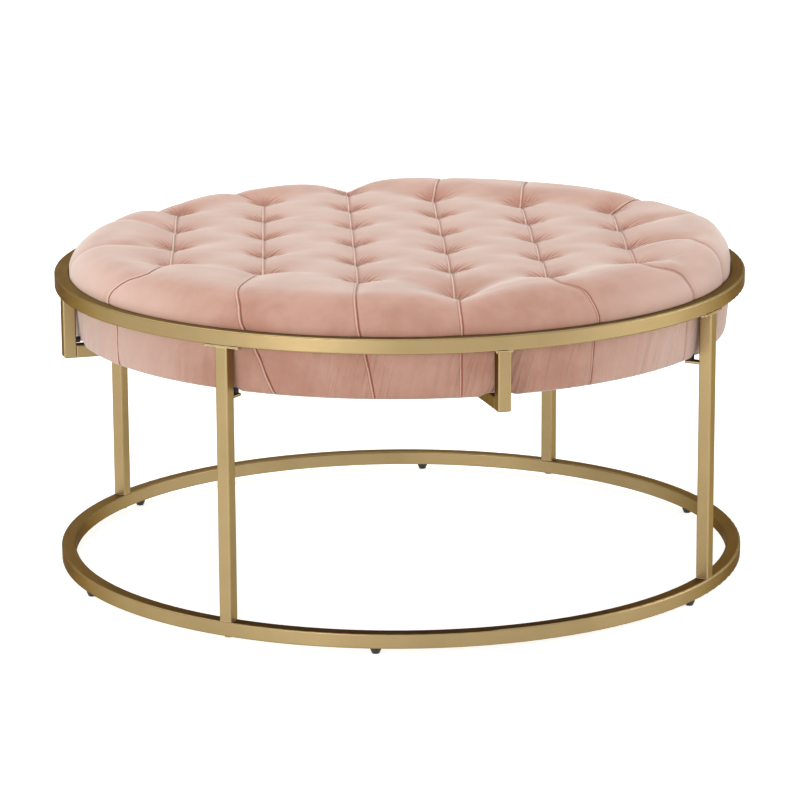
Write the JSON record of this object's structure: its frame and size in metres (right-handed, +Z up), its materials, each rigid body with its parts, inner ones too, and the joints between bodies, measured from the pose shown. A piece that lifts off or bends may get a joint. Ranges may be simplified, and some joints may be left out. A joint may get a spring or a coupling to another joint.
{
  "type": "ottoman coffee table",
  "caption": "Round tufted velvet ottoman coffee table on a gold metal hoop frame with straight legs; bars drop from the upper hoop and cross under the seat.",
  "frame": {"origin": "on the floor, under the middle of the table", "axes": "+Z up; the long cross bar lies along X, the two half cross bars along Y, and the legs stand at 45 degrees between them"},
  "size_m": [0.9144, 0.9144, 0.445],
  "materials": {
    "gold_metal": "satin, fine brushed grain under a champagne gold coat",
    "zinc_hardware": "bright zinc plated",
    "black_foot": "satin black nylon",
    "black_rubber": "smooth black",
    "pink_velvet": "short pile velvet, blush pink, soft sheen",
    "plywood": "raw plywood",
    "foam": "open cell foam, pale yellow",
    "wadding": "white polyester fibre",
    "dust_cloth": "thin black non-woven cloth",
    "twine": "waxed cotton"
  },
  "bodies": {
    "root": {"top_ring": "gold_metal", "bottom_ring": "gold_metal", "leg_front_left": "gold_metal", "leg_front_right": "gold_metal", "leg_back_right": "gold_metal", "leg_back_left": "gold_metal", "leg_plate_front_left": "gold_metal", "leg_plate_front_right": "gold_metal", "leg_plate_back_right": "gold_metal", "leg_plate_back_left": "gold_metal", "seat_tab_front_left": "gold_metal", "seat_tab_front_right": "gold_metal", "seat_tab_back_right": "gold_metal", "seat_tab_back_left": "gold_metal", "drop_bar_front": "gold_metal", "drop_bar_right": "gold_metal", "drop_bar_back": "gold_metal", "drop_bar_left": "gold_metal", "cross_bar_long": "gold_metal", "cross_bar_half_front": "gold_metal", "cross_bar_half_back": "gold_metal", "leg_bolts": "gold_metal", "plate_screws": "zinc_hardware", "ring_nuts": "zinc_hardware", "leg_plugs": "zinc_hardware", "tab_screws": "zinc_hardware", "tee_nuts": "zinc_hardware", "tuft_anchors": "zinc_hardware", "staples": "zinc_hardware", "cross_screws": "zinc_hardware", "cross_washers": "zinc_hardware", "foot_1": "black_foot", "foot_2": "black_foot", "foot_3": "black_foot", "foot_4": "black_foot", "foot_5": "black_foot", "foot_6": "black_foot", "tab_spacers": "black_rubber", "bar_bumpers": "black_rubber", "velvet_panel_1": "pink_velvet", "velvet_panel_2": "pink_velvet", "velvet_panel_3": "pink_velvet", "velvet_panel_4": "pink_velvet", "velvet_panel_5": "pink_velvet", "velvet_panel_6": "pink_velvet", "velvet_panel_7": "pink_velvet", "seat_board": "plywood", "seat_foam": "foam", "seat_wadding": "wadding", "dust_cover": "dust_cloth", "tuft_twine": "twine"}
  },
  "joints": []
}
